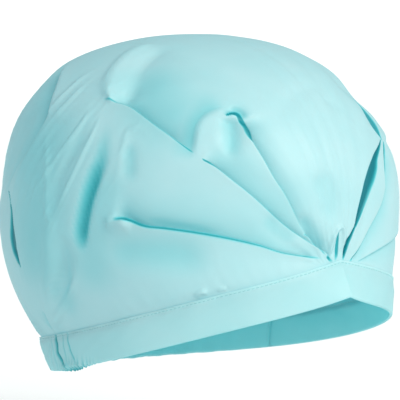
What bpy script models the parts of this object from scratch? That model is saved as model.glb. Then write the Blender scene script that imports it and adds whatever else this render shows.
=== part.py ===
"""Shower cap, a turban of thin coated cloth: one gathered crown sheet, a folded front band and a casing
gathered on elastic at the nape. Metres, +Z up. The front faces -Y and the wearer's right is -X.
The origin is the middle of the head ring. Azimuth runs from the front towards the wearer's right."""

import math

import bmesh
import bpy
import numpy as np
from mathutils import Vector

# Head ring, the lower edge that goes round the head
RING_LENGTH = 0.216
RING_WIDTH = 0.177
RING_TILT = 0.0262
RING_SADDLE = 0.0035
CREASE_REACH = 0.006
CREASE_SPREAD = math.radians(9.0)
BROW_ARCH = 0.009
BROW_SPREAD = math.radians(15.0)

# Hem round the ring: the band at the front and the casing at the nape
HEM_HEIGHT = 0.0205
HEM_LEAF = 0.0010
HEM_LEAN_SIDE = math.radians(3.0)
HEM_LEAN_NAPE = math.radians(38.0)
HEM_LEAN_BROW = math.radians(-26.0)
BROW_LEAN_SPREAD = math.radians(14.0)
BAND_END = math.radians(118.0)
CASING_PUFF = 0.0011
CASING_PLEATS = 13
CASING_PLEAT_RISE = 0.0012
CASING_RUFFLE = 0.0010
CASING_BUNCH = math.radians(150.0)
CASING_BUNCH_SPREAD = math.radians(30.0)
CASING_EVEN_SHARE = 0.35

# Crown, the cloth over the hair
CROWN_CLOTH = 0.0012
CROWN_WIDTH = 0.210
CROWN_LENGTH = 0.252
CROWN_SETBACK = 0.022
WIDEST_HEIGHT = 0.078
TOP_HEIGHT = 0.1745
BROW_TUCK_IN = 1.8
NAPE_TUCK_IN = 2.8
FRONT_FULLNESS = 2.22
BACK_FULLNESS = 2.5
CROWN_TUCK = 0.0042

# Fit of the cloth layers, and the folds
CLEARANCE = 0.0003
LEAF_APART = CROWN_CLOTH / 2 + CLEARANCE + HEM_LEAF / 2
GATHER_ANGLE = math.radians(9.0)
GATHER_PLEATS = 8
GATHER_RISE = 0.0011
GATHER_REACH = 0.014
FOLD_RISE = 0.0052
FOLD_WIDTH = 0.0100

# Shares of a run over which pleats and folds die out, and how far apart a fold's ridge and valley lie
CASING_FADE = 0.17
GATHER_FADE_ACROSS = 0.12
GATHER_FADE_ALONG = 0.025
FOLD_FADE = 0.25
FOLD_SHIFT = 0.6

# How the sheet's lengthways lines crowd towards its edges at the brow and part from them over the top
BROW_CROWDING = 0.75
TOP_CROWDING = 1.3

# How the meshes are cut up
STATIONS_A_PLEAT = 4
COLUMNS = STATIONS_A_PLEAT * CASING_PLEATS
ROWS = 34
BAND_STATIONS = 48
BAND_CROWDING = 1.5
HEM_LEAF_STEPS = 2
HEM_FOLD_STEPS = 3
PATH_STEPS = 24
NEARLY_STRAIGHT = 1e-4
NORMAL_STEP = 0.004
TOP_PATCH = 0.03

# Each fold's path as (azimuth in degrees, climb from the seam at 0 to the top at 1), at its start, its
# middle and its end. Ridge and valley are shares of FOLD_RISE, and reach is a share of FOLD_WIDTH.
# Seen along the path with the cloth's outside up, the ridge is on the left and the valley on the right.
FOLDS = (
    # name, start, middle, end, ridge, valley, reach
    ("low_tuck", (10, 0.02), (33, 0.13), (66, 0.26), 0.55, 0.75, 0.52),
    ("high_tuck", (9, 0.05), (33, 0.30), (76, 0.59), 0.60, 0.90, 0.62),
    ("brow_tuck", (5, 0.03), (17, 0.21), (30, 0.48), 0.45, 0.70, 0.46),
    ("left_wedge", (-1, 0.01), (-10, 0.19), (-29, 0.40), 0.55, 0.90, 0.44),
    ("left_crease", (-4, 0.01), (-16, 0.16), (-30, 0.38), 0.35, 0.55, 0.38),
    ("left_low_tuck", (-6, 0.01), (-30, 0.11), (-62, 0.24), 0.50, 0.70, 0.52),
    ("left_high_tuck", (-36, 0.38), (-54, 0.48), (-82, 0.55), 0.45, 0.65, 0.70),
    ("left_brow_hollow", (-24, 0.60), (-46, 0.55), (-68, 0.58), 0.00, 0.90, 1.90),
    ("facet_ridge", (80, 0.57), (80, 0.70), (66, 0.83), 0.80, 0.00, 1.10),
    ("facet_valley", (60, 0.51), (64, 0.66), (60, 0.82), 0.00, 0.90, 1.10),
    ("side_crease", (67, 0.54), (72, 0.32), (77, 0.15), 0.00, 0.85, 0.75),
    ("side_ridge", (84, 0.30), (92, 0.12), (110, 0.02), 0.55, 0.00, 1.00),
    ("side_hollow", (79, 0.24), (86, 0.11), (97, 0.03), 0.00, 0.55, 1.00),
    ("back_ridge", (124, 0.72), (99, 0.56), (110, 0.36), 0.80, 0.00, 1.40),
    ("back_hollow", (130, 0.64), (127, 0.52), (122, 0.38), 0.00, 0.85, 1.50),
    ("temple_crease", (77, 0.54), (83, 0.43), (92, 0.32), 0.00, 0.45, 0.70),
    ("brow_hollow", (13, 0.38), (6, 0.24), (-2, 0.15), 0.00, 0.35, 1.40),
    ("brow_slope", (35, 0.52), (37, 0.38), (34, 0.27), 0.00, 0.40, 1.00),
    ("top_fold", (19, 0.47), (2, 0.53), (-20, 0.56), 0.20, 0.25, 1.10),
    ("panel_hollow", (40, 0.10), (60, 0.12), (76, 0.14), 0.00, 0.35, 1.30),
    ("left_side_crease", (-70, 0.52), (-74, 0.32), (-79, 0.15), 0.00, 0.65, 0.80),
    ("left_side_ridge", (-86, 0.30), (-95, 0.14), (-110, 0.02), 0.50, 0.00, 1.00),
    ("nape_fold_right", (150, 0.03), (146, 0.16), (138, 0.36), 0.40, 0.55, 1.00),
    ("nape_fold_middle", (178, 0.03), (181, 0.18), (186, 0.40), 0.40, 0.55, 1.00),
    ("nape_fold_left", (-148, 0.03), (-143, 0.18), (-134, 0.38), 0.40, 0.55, 1.00),
)

# Base colour and roughness of each piece's coated cloth
COLOURS = {
    "crown": (0.50, 0.78, 0.80, 1.0),
    "front_band": (0.58, 0.84, 0.85, 1.0),
    "elastic_casing": (0.46, 0.74, 0.76, 1.0),
}
CLOTH_ROUGHNESS = 0.45


def wrapped(angle):
    """The angle between -pi and pi."""
    return (angle + math.pi) % (2 * math.pi) - math.pi


def stacked(x, y, z):
    return np.stack(np.broadcast_arrays(x, y, z), axis=-1).astype(float)


def outward(azimuth):
    """The level direction away from the head."""
    return stacked(-np.sin(azimuth), -np.cos(azimuth), 0.0)


def nape_share(azimuth):
    """0 at one end of the casing, 0.5 at the nape and 1 at the other end."""
    return (np.mod(azimuth, 2 * math.pi) - BAND_END) / (2 * math.pi - 2 * BAND_END)


def nape_fullness(azimuth):
    """How gathered the casing is: 0 along the band and at the casing's ends, 1 where the gathers bunch up."""
    share = np.clip(nape_share(azimuth), 0.0, 1.0)
    off_bunch = (np.mod(azimuth, 2 * math.pi) - CASING_BUNCH) / CASING_BUNCH_SPREAD
    bunched = CASING_EVEN_SHARE + (1.0 - CASING_EVEN_SHARE) * np.exp(-(off_bunch**2))
    return bunched * np.minimum(1.0, np.minimum(share, 1.0 - share) / CASING_FADE)


def nape_pleat(azimuth):
    """The gathers of the elastic, out at 1 and in at -1."""
    turns = CASING_PLEATS * np.clip(nape_share(azimuth), 0.0, 1.0)
    return nape_fullness(azimuth) * np.sin(2 * math.pi * turns)


def hem_lean(azimuth):
    """How far the hem leans out from upright, going up: back over the brow and out over the nape."""
    level = np.cos(azimuth)
    nape = np.where(level < 0.0, level**2, 0.0)
    brow = np.exp(-np.abs(wrapped(azimuth)) / BROW_LEAN_SPREAD)
    lean = HEM_LEAN_SIDE + (HEM_LEAN_NAPE - HEM_LEAN_SIDE) * nape
    return lean + (HEM_LEAN_BROW - HEM_LEAN_SIDE) * brow


def hem_rise(azimuth):
    """The hem's direction going up."""
    lean = hem_lean(azimuth)[..., None]
    return np.sin(lean) * outward(azimuth) + np.cos(lean) * np.array((0.0, 0.0, 1.0))


def hem_across(azimuth):
    """The hem's direction out through its leaves."""
    lean = hem_lean(azimuth)[..., None]
    return np.cos(lean) * outward(azimuth) - np.sin(lean) * np.array((0.0, 0.0, 1.0))


def ring(azimuth):
    """The hem's lower edge: a tilted oval, creased and arched at the brow, gathered at the nape."""
    off_front = np.abs(wrapped(azimuth))
    crease = CREASE_REACH * np.exp(-off_front / CREASE_SPREAD)
    arch = BROW_ARCH * np.exp(-off_front / BROW_SPREAD)
    x = -RING_WIDTH / 2 * np.sin(azimuth)
    y = -RING_LENGTH / 2 * np.cos(azimuth) - crease
    z = RING_TILT * np.cos(azimuth) + RING_SADDLE * np.cos(2 * azimuth) + arch
    pleat = nape_pleat(azimuth)[..., None]
    return stacked(x, y, z) + CASING_PLEAT_RISE * pleat * outward(azimuth)


def hem_foot(azimuth):
    """The foot of the hem's middle line, whose outer leaf stands over the ring."""
    return ring(azimuth) - LEAF_APART * hem_across(azimuth)


def seam(azimuth):
    """Where the crown comes out of the hem."""
    return hem_foot(azimuth) + HEM_HEIGHT * hem_rise(azimuth)


def dome(azimuth, climb):
    """The smooth form under the folds, from the seam at climb 0 to the top at climb 1."""
    level = np.cos(azimuth)
    widest = stacked(
        -CROWN_WIDTH / 2 * np.sin(azimuth),
        CROWN_SETBACK - CROWN_LENGTH / 2 * level,
        WIDEST_HEIGHT,
    )
    start = seam(azimuth)
    wall = WIDEST_HEIGHT - start[..., 2]
    cap = (TOP_HEIGHT - WIDEST_HEIGHT) * math.pi / 2
    widest_climb = wall / (wall + cap)

    down = np.clip((widest_climb - climb) / widest_climb, 0.0, 1.0)[..., None]
    tuck_in = (NAPE_TUCK_IN + (BROW_TUCK_IN - NAPE_TUCK_IN) * (1.0 + level) / 2)[..., None]
    tuck = np.concatenate((down**tuck_in, down**tuck_in, down), axis=-1)
    lower = widest + (start - widest) * tuck

    turn = np.clip((climb - widest_climb) / (1.0 - widest_climb), 0.0, 1.0) * math.pi / 2
    fullness = BACK_FULLNESS + (FRONT_FULLNESS - BACK_FULLNESS) * (1.0 + level) / 2
    size = (np.cos(turn) ** fullness + np.sin(turn) ** fullness) ** (-1.0 / fullness)
    inwards = (size * np.cos(turn))[..., None]
    middle = np.array((0.0, CROWN_SETBACK, WIDEST_HEIGHT))
    upper = middle + (widest - middle) * inwards
    upper[..., 2] += (TOP_HEIGHT - WIDEST_HEIGHT) * size * np.sin(turn)
    return np.where((climb < widest_climb)[..., None], lower, upper)


def on_circle(first, second, third, share):
    """Points at these shares of the way round the circle through three points of the plane."""
    ax, ay = second[..., 0] - first[..., 0], second[..., 1] - first[..., 1]
    bx, by = third[..., 0] - first[..., 0], third[..., 1] - first[..., 1]
    twist = 2.0 * (ax * by - ay * bx)
    a2, b2 = ax**2 + ay**2, bx**2 + by**2
    middle = first + np.stack(((by * a2 - ay * b2) / twist, (ax * b2 - bx * a2) / twist), axis=-1)
    arms = [point - middle for point in (first, second, third)]
    angle = [np.arctan2(arm[..., 1], arm[..., 0]) for arm in arms]
    sweep = wrapped(angle[1] - angle[0]) + wrapped(angle[2] - angle[1])
    radius = np.linalg.norm(arms[0], axis=-1)
    turned = angle[0] + sweep * share
    return middle + radius[..., None] * np.stack((np.cos(turned), np.sin(turned)), axis=-1)


def laid(across, along):
    """Azimuth and climb of a point of the crown's sheet, which is gathered at the brow and at the nape.
    Across runs from the wearer's right side at 0 to the left at 1, and along from the brow to the nape."""
    side = 1.0 - 2.0 * np.clip(across, NEARLY_STRAIGHT, 1.0 - NEARLY_STRAIGHT)
    side = np.where(np.abs(side) < NEARLY_STRAIGHT, NEARLY_STRAIGHT, side)
    near = np.sign(side) * np.abs(side) ** BROW_CROWDING
    top = np.sign(side) * np.abs(side) ** TOP_CROWDING
    brow = GATHER_ANGLE * near
    nape = math.pi - (math.pi - BAND_END) * side
    first = np.stack((np.sin(brow), np.cos(brow)), axis=-1)
    second = np.stack((top, np.zeros_like(top)), axis=-1)
    third = np.stack((np.sin(nape), np.cos(nape)), axis=-1)
    spot = on_circle(first, second, third, along)
    azimuth = np.arctan2(spot[..., 0], spot[..., 1])
    climb = 1.0 - np.clip(np.hypot(spot[..., 0], spot[..., 1]), 0.0, 1.0)
    climb = np.where((across <= 0.0) | (across >= 1.0) | (along <= 0.0) | (along >= 1.0), 0.0, climb)
    return azimuth, climb


def dome_normal(azimuth, climb):
    """The direction out of the dome, which is upright at its top."""
    low = np.clip(climb, 0.0, 1.0 - 2 * NORMAL_STEP)
    here = dome(azimuth, low)
    round_it = dome(azimuth + NORMAL_STEP, low) - here
    up_it = dome(azimuth, low + NORMAL_STEP) - here
    normal = np.cross(up_it, round_it)
    normal = normal / np.linalg.norm(normal, axis=-1, keepdims=True)
    near_top = np.clip(1.0 - (1.0 - climb) / TOP_PATCH, 0.0, 1.0)[..., None]
    normal = normal * (1.0 - near_top) + np.array((0.0, 0.0, 1.0)) * near_top
    return normal / np.linalg.norm(normal, axis=-1, keepdims=True)


def through(start, middle, end, share):
    """A smooth path through three places, reached at shares 0, 0.5 and 1."""
    start, middle, end = (np.array(place, dtype=float) for place in (start, middle, end))
    share = share[:, None]
    return (
        start * (1.0 - share) * (1.0 - 2.0 * share)
        + middle * 4.0 * share * (1.0 - share)
        + end * share * (2.0 * share - 1.0)
    )


def fold_height(points, start, middle, end, ridge, valley, reach):
    """How far one fold moves these points of the dome outwards."""
    share = np.linspace(0.0, 1.0, PATH_STEPS)
    places = through(start, middle, end, share)
    azimuth, climb = np.radians(places[:, 0]), places[:, 1]
    path = dome(azimuth, climb)
    tangent = np.gradient(path, axis=0)
    sideways = np.cross(tangent, dome_normal(azimuth, climb))
    sideways /= np.linalg.norm(sideways, axis=-1, keepdims=True)
    away = points[:, None, :] - path[None, :, :]
    nearest = np.argmin(np.linalg.norm(away, axis=-1), axis=1)
    offset = away[np.arange(len(points)), nearest]
    side = np.sum(offset * sideways[nearest], axis=-1)
    distance = np.linalg.norm(offset, axis=-1)
    width = FOLD_WIDTH * reach
    two_sided = ridge > 0.0 and valley > 0.0
    shift = FOLD_SHIFT * width if two_sided else 0.0
    bump = FOLD_RISE * ridge * np.exp(-(((side + shift) / width) ** 2))
    dent = FOLD_RISE * valley * np.exp(-(((side - shift) / width) ** 2))
    beyond = np.sqrt(np.maximum(distance**2 - side**2, 0.0))
    ends = np.minimum(1.0, np.minimum(share, 1.0 - share) / FOLD_FADE)[nearest]
    return (bump - dent) * ends * np.exp(-((beyond / width) ** 2))


def gather_height(across, along, points):
    """The pleats that fan out over the brow."""
    distance = np.linalg.norm(points - seam(np.zeros(1)), axis=-1)
    swell = (distance / GATHER_REACH) * np.exp(1.0 - distance / GATHER_REACH)
    inside = np.minimum(1.0, np.minimum(across, 1.0 - across) / GATHER_FADE_ACROSS)
    inside = inside * np.minimum(1.0, along / GATHER_FADE_ALONG)
    return GATHER_RISE * swell * inside * np.sin(2 * math.pi * GATHER_PLEATS * across)


def make_material(name):
    material = bpy.data.materials.new(name + "_cloth")
    material.use_nodes = True
    shader = material.node_tree.nodes["Principled BSDF"]
    shader.inputs["Base Color"].default_value = COLOURS[name]
    shader.inputs["Roughness"].default_value = CLOTH_ROUGHNESS
    shader.inputs["Metallic"].default_value = 0.0
    return material


def finish(bm, name, thickness, collection):
    """Makes the sheet an object with its wall and its material."""
    mesh = bpy.data.meshes.new(name)
    bmesh.ops.recalc_face_normals(bm, faces=bm.faces)
    bm.to_mesh(mesh)
    bm.free()
    mesh.shade_smooth()
    mesh.materials.append(make_material(name))
    piece = bpy.data.objects.new(name, mesh)
    collection.objects.link(piece)
    wall = piece.modifiers.new("cloth_wall", "SOLIDIFY")
    wall.thickness = thickness
    wall.offset = 0.0
    return piece


def make_crown(collection):
    """One sheet, gathered at the brow and the nape, its edge tucked into the hem all round."""
    bm = bmesh.new()
    bmesh.ops.create_grid(bm, x_segments=COLUMNS, y_segments=ROWS, size=0.5)
    places = np.array([vert.co for vert in bm.verts])
    across = np.round(places[:, 0] + 0.5, 6)
    along = np.round(places[:, 1] + 0.5, 6)
    azimuth, climb = laid(across, along)
    points = dome(azimuth, climb)
    height = gather_height(across, along, points)
    for _, start, middle, end, ridge, valley, reach in FOLDS:
        height += fold_height(points, start, middle, end, ridge, valley, reach)
    held = np.clip(np.linalg.norm(points - seam(azimuth), axis=-1) / (2 * FOLD_RISE), 0.0, 1.0)
    points = points + (height * held)[:, None] * dome_normal(azimuth, climb)

    turn = bm.verts.layers.float.new("azimuth")
    for vert, point, angle in zip(bm.verts, points, azimuth):
        vert.co = point
        vert[turn] = angle
    border = [edge for edge in bm.edges if edge.is_boundary]
    tucked = bmesh.ops.extrude_edge_only(bm, edges=border)["geom"]
    for vert in tucked:
        if isinstance(vert, bmesh.types.BMVert):
            vert.co -= CROWN_TUCK * Vector(hem_rise(np.array(vert[turn])))
    return finish(bm, "crown", CROWN_CLOTH, collection)


def hem_section(puff):
    """The folded strip seen from its end, as (across, up) points on the middle of its cloth, from the outer
    leaf's top round the lower fold to the inner leaf's top. The leaves part above to take the crown."""
    inner = LEAF_APART - HEM_LEAF - CLEARANCE
    bend = (LEAF_APART - inner) / 2
    low = HEM_LEAF / 2 + bend
    top = HEM_HEIGHT - CLEARANCE
    pocket = HEM_HEIGHT - CROWN_TUCK - CLEARANCE - HEM_LEAF
    step = pocket - 2 * LEAF_APART

    def bulged(across, up, way):
        return across + way * puff * math.sin(math.pi * min(1.0, (up - low) / (top - low))), up

    outer = [bulged(LEAF_APART, up, 1.0) for up in np.linspace(top, low, HEM_LEAF_STEPS + 1)]
    turns = np.linspace(0.0, math.pi, HEM_FOLD_STEPS + 1)[1:-1]
    fold = [(LEAF_APART - bend + bend * math.cos(turn), low - bend * math.sin(turn)) for turn in turns]
    inside = [bulged(inner, up, -1.0) for up in np.linspace(low, step, HEM_LEAF_STEPS + 1)]
    return np.array(outer + fold + inside + [(-LEAF_APART, pocket), (-LEAF_APART, top)])


def make_hem(name, azimuth, puff, collection):
    """A strip folded in two round the head ring, between its first and its last azimuth."""
    section = hem_section(puff)
    bm = bmesh.new()
    bmesh.ops.create_grid(bm, x_segments=len(azimuth) - 1, y_segments=len(section) - 1, size=0.5)
    places = np.array([vert.co for vert in bm.verts])
    station = np.rint((places[:, 0] + 0.5) * (len(azimuth) - 1)).astype(int)
    row = np.rint((places[:, 1] + 0.5) * (len(section) - 1)).astype(int)
    turn, across, up = azimuth[station], section[row, 0], section[row, 1]
    wave = np.cos(2 * math.pi * CASING_PLEATS * nape_share(turn))
    up = up + CASING_RUFFLE * nape_fullness(turn) * wave * (1.0 - up / HEM_HEIGHT)
    points = hem_foot(turn) + across[:, None] * hem_across(turn) + up[:, None] * hem_rise(turn)
    for vert, point in zip(bm.verts, points):
        vert.co = point
    return finish(bm, name, HEM_LEAF, collection)


def clear_scene():
    for item in list(bpy.data.objects):
        bpy.data.objects.remove(item, do_unlink=True)


def main():
    clear_scene()
    collection = bpy.data.collections.new("shower_cap")
    bpy.context.scene.collection.children.link(collection)
    end_gap = CLEARANCE / RING_LENGTH
    make_crown(collection)
    share = np.linspace(-1.0, 1.0, BAND_STATIONS + 1)
    band_azimuth = (BAND_END - end_gap) * np.sign(share) * np.abs(share) ** BAND_CROWDING
    make_hem("front_band", band_azimuth, 0.0, collection)
    casing_azimuth = np.linspace(BAND_END, 2 * math.pi - BAND_END, COLUMNS + 1)
    casing_azimuth[0] += end_gap
    casing_azimuth[-1] -= end_gap
    make_hem("elastic_casing", casing_azimuth, CASING_PUFF, collection)


main()
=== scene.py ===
"""Shower cap, worn form: a turban of thin coated cloth, gathered over the brow and at the nape.
The script follows the cap as it is sewn: crown, front band, elastic casing, topstitching."""

import math

import bmesh
import bpy
import numpy as np
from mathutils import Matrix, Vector, noise


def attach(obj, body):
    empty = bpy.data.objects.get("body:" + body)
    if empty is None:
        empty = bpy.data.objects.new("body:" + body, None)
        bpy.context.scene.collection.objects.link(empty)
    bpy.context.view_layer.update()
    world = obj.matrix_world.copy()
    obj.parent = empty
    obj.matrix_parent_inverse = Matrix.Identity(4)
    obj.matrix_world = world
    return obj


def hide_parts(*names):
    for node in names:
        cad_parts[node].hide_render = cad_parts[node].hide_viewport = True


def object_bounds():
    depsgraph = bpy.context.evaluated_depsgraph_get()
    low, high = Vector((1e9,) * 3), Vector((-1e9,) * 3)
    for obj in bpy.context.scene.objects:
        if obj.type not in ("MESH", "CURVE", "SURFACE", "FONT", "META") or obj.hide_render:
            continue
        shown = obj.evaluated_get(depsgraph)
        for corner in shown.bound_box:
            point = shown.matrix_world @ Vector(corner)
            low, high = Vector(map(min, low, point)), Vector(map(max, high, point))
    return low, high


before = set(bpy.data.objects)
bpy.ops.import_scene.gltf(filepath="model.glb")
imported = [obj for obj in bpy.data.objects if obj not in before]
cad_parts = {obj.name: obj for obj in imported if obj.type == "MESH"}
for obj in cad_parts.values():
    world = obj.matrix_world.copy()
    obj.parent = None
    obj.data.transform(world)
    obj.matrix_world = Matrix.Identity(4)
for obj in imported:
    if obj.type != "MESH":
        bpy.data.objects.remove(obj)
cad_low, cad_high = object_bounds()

# ---- Camera: the photographer stood at the wearer's front right, a little above the cap's middle.
# A long lens from 1.2 m keeps the two sides of the head ring nearly parallel.
CAMERA_AZIMUTH = math.radians(37.5)
CAMERA_CLIMB = math.radians(8.3)
CAMERA_AWAY = 1.2
CAMERA_AIM = Vector((0.0, 0.018, 0.0809))
LENS_MM = 190.68

from_cap = Vector(
    (
        -math.sin(CAMERA_AZIMUTH) * math.cos(CAMERA_CLIMB),
        -math.cos(CAMERA_AZIMUTH) * math.cos(CAMERA_CLIMB),
        math.sin(CAMERA_CLIMB),
    )
)
camera = bpy.data.objects.new("camera", bpy.data.cameras.new("camera"))
camera.data.lens = LENS_MM
camera.location = CAMERA_AWAY * from_cap
camera.rotation_mode = "QUATERNION"
camera.rotation_quaternion = (CAMERA_AIM - camera.location).to_track_quat("-Z", "Y")
bpy.context.scene.collection.objects.link(camera)
bpy.context.scene.camera = camera

# ---- Studio: a plain pale painted floor under the cap, which its wearer's head would hold up. It is
# a few metres wide and curves up at its edge, so that no horizon shows. The room is white, with one
# wide soft light from the right, in front and above.
FLOOR_DROP = 0.075
FLOOR_SIDE = 16.0
FLOOR_WHITE = "ffffff"
ROOM_WHITE = "eef7fd"
ROOM_LIGHT = 0.60
SOFTBOX_LIGHT = 2.85
SOFTBOX_SPREAD = math.radians(38.0)
SOFTBOX_WARM = "fffdf3"
SOFTBOX_TO_RIGHT = 0.62
SOFTBOX_TO_CAMERA = 0.78
SOFTBOX_UP = 0.60
FLOOR_CELLS = 48
FLOOR_RIM = 0.40
FLOOR_RIM_RISE = 1.0


def linear(colour):
    """A hex colour as screens give it, turned to the linear values that shaders take."""
    parts = [int(colour[i : i + 2], 16) / 255 for i in (0, 2, 4)]
    return tuple(p / 12.92 if p <= 0.04045 else ((p + 0.055) / 1.055) ** 2.4 for p in parts) + (1.0,)


def add_node(tree, kind, links=None, **settings):
    """One node of this kind. Links and numbers for its inputs come by input name or number."""
    made = tree.nodes.new(kind)
    for name, value in settings.items():
        setattr(made, name, value)
    for key, value in (links or {}).items():
        if isinstance(value, bpy.types.NodeSocket):
            tree.links.new(value, made.inputs[key])
        else:
            made.inputs[key].default_value = value
    return made


def new_material(name):
    """An empty node material and its tree."""
    made = bpy.data.materials.new(name)
    made.use_nodes = True
    made.node_tree.nodes.clear()
    return made, made.node_tree


floor_paint, tree = new_material("matt_white_floor_paint")  # matt paint: even, pale and without gloss
shader = add_node(
    tree,
    "ShaderNodeBsdfPrincipled",
    {"Base Color": linear(FLOOR_WHITE), "Roughness": 0.85, "IOR": 1.45},
)
add_node(tree, "ShaderNodeOutputMaterial", {"Surface": shader.outputs[0]})

bm = bmesh.new()
bmesh.ops.create_grid(bm, x_segments=FLOOR_CELLS, y_segments=FLOOR_CELLS, size=FLOOR_SIDE / 2)
for vert in bm.verts:
    off_middle = max(abs(vert.co.x), abs(vert.co.y)) * 2 / FLOOR_SIDE
    rim = max(0.0, (off_middle - FLOOR_RIM) / (1.0 - FLOOR_RIM))
    vert.co.z = cad_low[2] - FLOOR_DROP + FLOOR_RIM_RISE * rim**2
floor_mesh = bpy.data.meshes.new("floor")
bm.to_mesh(floor_mesh)
bm.free()
floor_mesh.shade_smooth()
floor_mesh.materials.append(floor_paint)
floor = bpy.data.objects.new("floor", floor_mesh)
bpy.context.scene.collection.objects.link(floor)

room = bpy.data.worlds.new("white_room")
room.use_nodes = True
sky = room.node_tree.nodes["Background"]
sky.inputs["Color"].default_value = linear(ROOM_WHITE)
sky.inputs["Strength"].default_value = ROOM_LIGHT
bpy.context.scene.world = room
bpy.context.scene.view_settings.view_transform = "Standard"

to_right = Vector((math.cos(CAMERA_AZIMUTH), -math.sin(CAMERA_AZIMUTH), 0.0))
lamp_way = SOFTBOX_TO_RIGHT * to_right + SOFTBOX_TO_CAMERA * from_cap + Vector((0.0, 0.0, SOFTBOX_UP))
lamp = bpy.data.objects.new("softbox", bpy.data.lights.new("softbox", "SUN"))
lamp.data.energy = SOFTBOX_LIGHT
lamp.data.angle = SOFTBOX_SPREAD
lamp.data.color = linear(SOFTBOX_WARM)[:3]
lamp.rotation_mode = "QUATERNION"
lamp.rotation_quaternion = (-lamp_way.normalized()).to_track_quat("-Z", "Y")
bpy.context.scene.collection.objects.link(lamp)

# ---- Crown: one wide sheet of thin coated polyester, cut as a rounded panel. It is gathered into the
# middle of the band over the brow and along the elastic at the nape, and its folds start from there.
# The head ring, the hem that stands on it and the smooth dome are those of the solids.
RING_LENGTH = 0.216
RING_WIDTH = 0.177
RING_TILT = 0.0262
RING_SADDLE = 0.0035
CREASE_REACH = 0.006
CREASE_SPREAD = math.radians(9.0)
BROW_ARCH = 0.009
BROW_SPREAD = math.radians(15.0)
HEM_HEIGHT = 0.0205
HEM_LEAN_SIDE = math.radians(3.0)
HEM_LEAN_NAPE = math.radians(38.0)
HEM_LEAN_BROW = math.radians(-26.0)
BROW_LEAN_SPREAD = math.radians(14.0)
BAND_END = math.radians(118.0)
LEAF_APART = 0.0014
CASING_PLEATS = 13
CASING_PLEAT_RISE = 0.0012
CASING_BUNCH = math.radians(150.0)
CASING_BUNCH_SPREAD = math.radians(30.0)
CASING_EVEN_SHARE = 0.35
CASING_FADE = 0.17
SMALL_GATHERS = 2.6
GATHERS_DRIFT = 2.0
GATHERS_DRIFT_WAVES = 7.0
CROWN_WIDTH = 0.210
CROWN_LENGTH = 0.252
CROWN_SETBACK = 0.022
WIDEST_HEIGHT = 0.078
TOP_HEIGHT = 0.1745
BROW_TUCK_IN = 1.8
NAPE_TUCK_IN = 2.8
FRONT_FULLNESS = 2.22
BACK_FULLNESS = 2.5

# The sheet: how far its edge is tucked into the hem, how it is gathered, how it was cut, and how finely
# it is divided, above all within reach of a fold.
CROWN_TUCK = 0.0040
GATHER_ANGLE = math.radians(9.0)
BROW_CROWDING = 0.75
TOP_CROWDING = 1.3
NEARLY_STRAIGHT = 1e-4
NORMAL_STEP = 0.004
TOP_PATCH = 0.03
CUT_WIDTH = 0.46
CUT_LENGTH = 0.48
CROWN_ACROSS = 232
CROWN_ALONG = 134
FINER_WITHIN = (0.0024, 0.0011)
NARROW_SWELL = 3.0
MM = 0.001

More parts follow.
